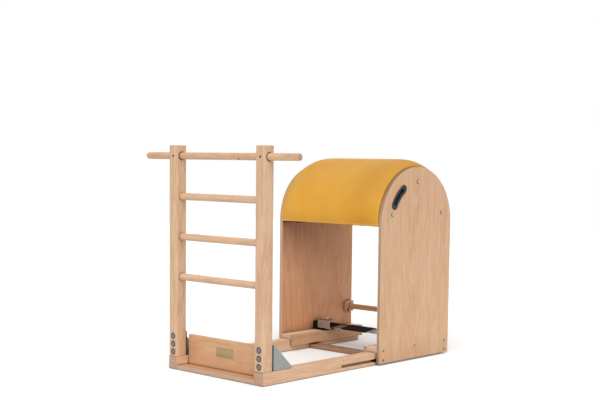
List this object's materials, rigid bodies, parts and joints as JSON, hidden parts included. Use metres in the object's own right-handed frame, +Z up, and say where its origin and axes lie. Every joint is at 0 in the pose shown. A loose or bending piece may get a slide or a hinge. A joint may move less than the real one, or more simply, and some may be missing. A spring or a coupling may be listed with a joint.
{
  "type": "pilates ladder barrel",
  "caption": "Pilates ladder barrel: a beech ladder on two floor rails and a padded half-round barrel that slides along them and locks with drop pins.",
  "frame": {"origin": "on the floor, under the middle of the whole length and width", "axes": "+X runs along the rails from the ladder at the front to the barrel at the rear, +Y is the left side, +Z is up"},
  "size_m": [1.282, 0.946, 1],
  "materials": {
    "beech": "clear satin lacquer on beech",
    "plywood": "clear satin lacquer on beech plywood",
    "vinyl": "golden yellow fine-grained upholstery vinyl",
    "black_plastic": "matt black moulded plastic",
    "liner_plastic": "satin dark slate grey plastic",
    "grip_rubber": "matt black ribbed rubber",
    "zinc_steel": "zinc-plated sheet steel",
    "painted_steel": "satin grey powder coat",
    "dark_steel": "darkened steel fasteners",
    "plate_brass": "dull brass-coloured plate, left bare"
  },
  "bodies": {
    "base": {"base_rail_left": "beech", "base_rail_right": "beech", "cross_plank": "beech", "front_step_board": "plywood", "kick_board": "plywood", "name_plate": "plate_brass", "upright_left": "beech", "upright_right": "beech", "top_rung": "beech", "rung_upper": "beech", "rung_middle": "beech", "rung_lower": "beech", "rung_screw_left": "dark_steel", "rung_screw_right": "dark_steel", "gusset_left": "painted_steel", "gusset_right": "painted_steel", "upright_bolt_lower_left": "dark_steel", "upright_bolt_lower_right": "dark_steel", "upright_bolt_middle_left": "dark_steel", "upright_bolt_middle_right": "dark_steel", "upright_bolt_upper_left": "dark_steel", "upright_bolt_upper_right": "dark_steel"},
    "carriage": {"side_panel_left": "plywood", "side_panel_right": "plywood", "hand_slot_liner_left": "liner_plastic", "hand_slot_liner_right": "liner_plastic", "arch_bolt_rear_left": "zinc_steel", "arch_bolt_rear_right": "zinc_steel", "arch_bolt_top_left": "zinc_steel", "arch_bolt_top_right": "zinc_steel", "arch_bolt_front_left": "zinc_steel", "arch_bolt_front_right": "zinc_steel", "barrel_shell": "plywood", "barrel_batten_rear": "beech", "barrel_batten_top": "beech", "barrel_batten_front": "beech", "barrel_pad": "vinyl", "runner_board_left": "beech", "runner_board_right": "beech", "cheek_board_left": "beech", "cheek_board_right": "beech", "guide_block_front_left": "black_plastic", "guide_block_front_right": "black_plastic", "guide_block_rear_left": "black_plastic", "guide_block_rear_right": "black_plastic", "rear_bar_block_left": "beech", "rear_bar_block_right": "beech", "rear_bar": "beech", "lock_block_left": "black_plastic", "lock_block_right": "black_plastic", "lock_housing_left": "zinc_steel", "lock_housing_right": "zinc_steel", "pivot_pin_left": "dark_steel", "pivot_pin_right": "dark_steel", "lock_spring_left": "dark_steel", "lock_spring_right": "dark_steel"},
    "release_bar": {"release_bar": "zinc_steel", "bar_grip": "grip_rubber"},
    "lock_pin_left": {"lock_pin_left": "zinc_steel"},
    "lock_pin_right": {"lock_pin_right": "zinc_steel"}
  },
  "joints": [
    {"name": "carriage_slide", "type": "slide", "parent": "base", "child": "carriage", "axis": [1, 0, 0], "range_m": [-0.2, 0]},
    {"name": "release_bar_hinge", "type": "hinge", "parent": "carriage", "child": "release_bar", "pos_m": [0.32846, 0, 0.1023], "axis": [0, 1, 0], "range_deg": [0, 8.4], "stiffness_Nm_per_rad": 5.25, "springref_deg": 14.09},
    {"name": "lock_pin_left_slide", "type": "slide", "parent": "carriage", "child": "lock_pin_left", "axis": [0, 0, -1], "range_m": [0, 0.0083], "deforming": ["lock_spring_left"]},
    {"name": "lock_pin_right_slide", "type": "slide", "parent": "carriage", "child": "lock_pin_right", "axis": [0, 0, -1], "range_m": [0, 0.0083], "deforming": ["lock_spring_right"]}
  ],
  "couplings": [
    {"joint": "lock_pin_left_slide", "follows": "release_bar_hinge", "m_per_rad": 0.056},
    {"joint": "lock_pin_right_slide", "follows": "release_bar_hinge", "m_per_rad": 0.056}
  ]
}
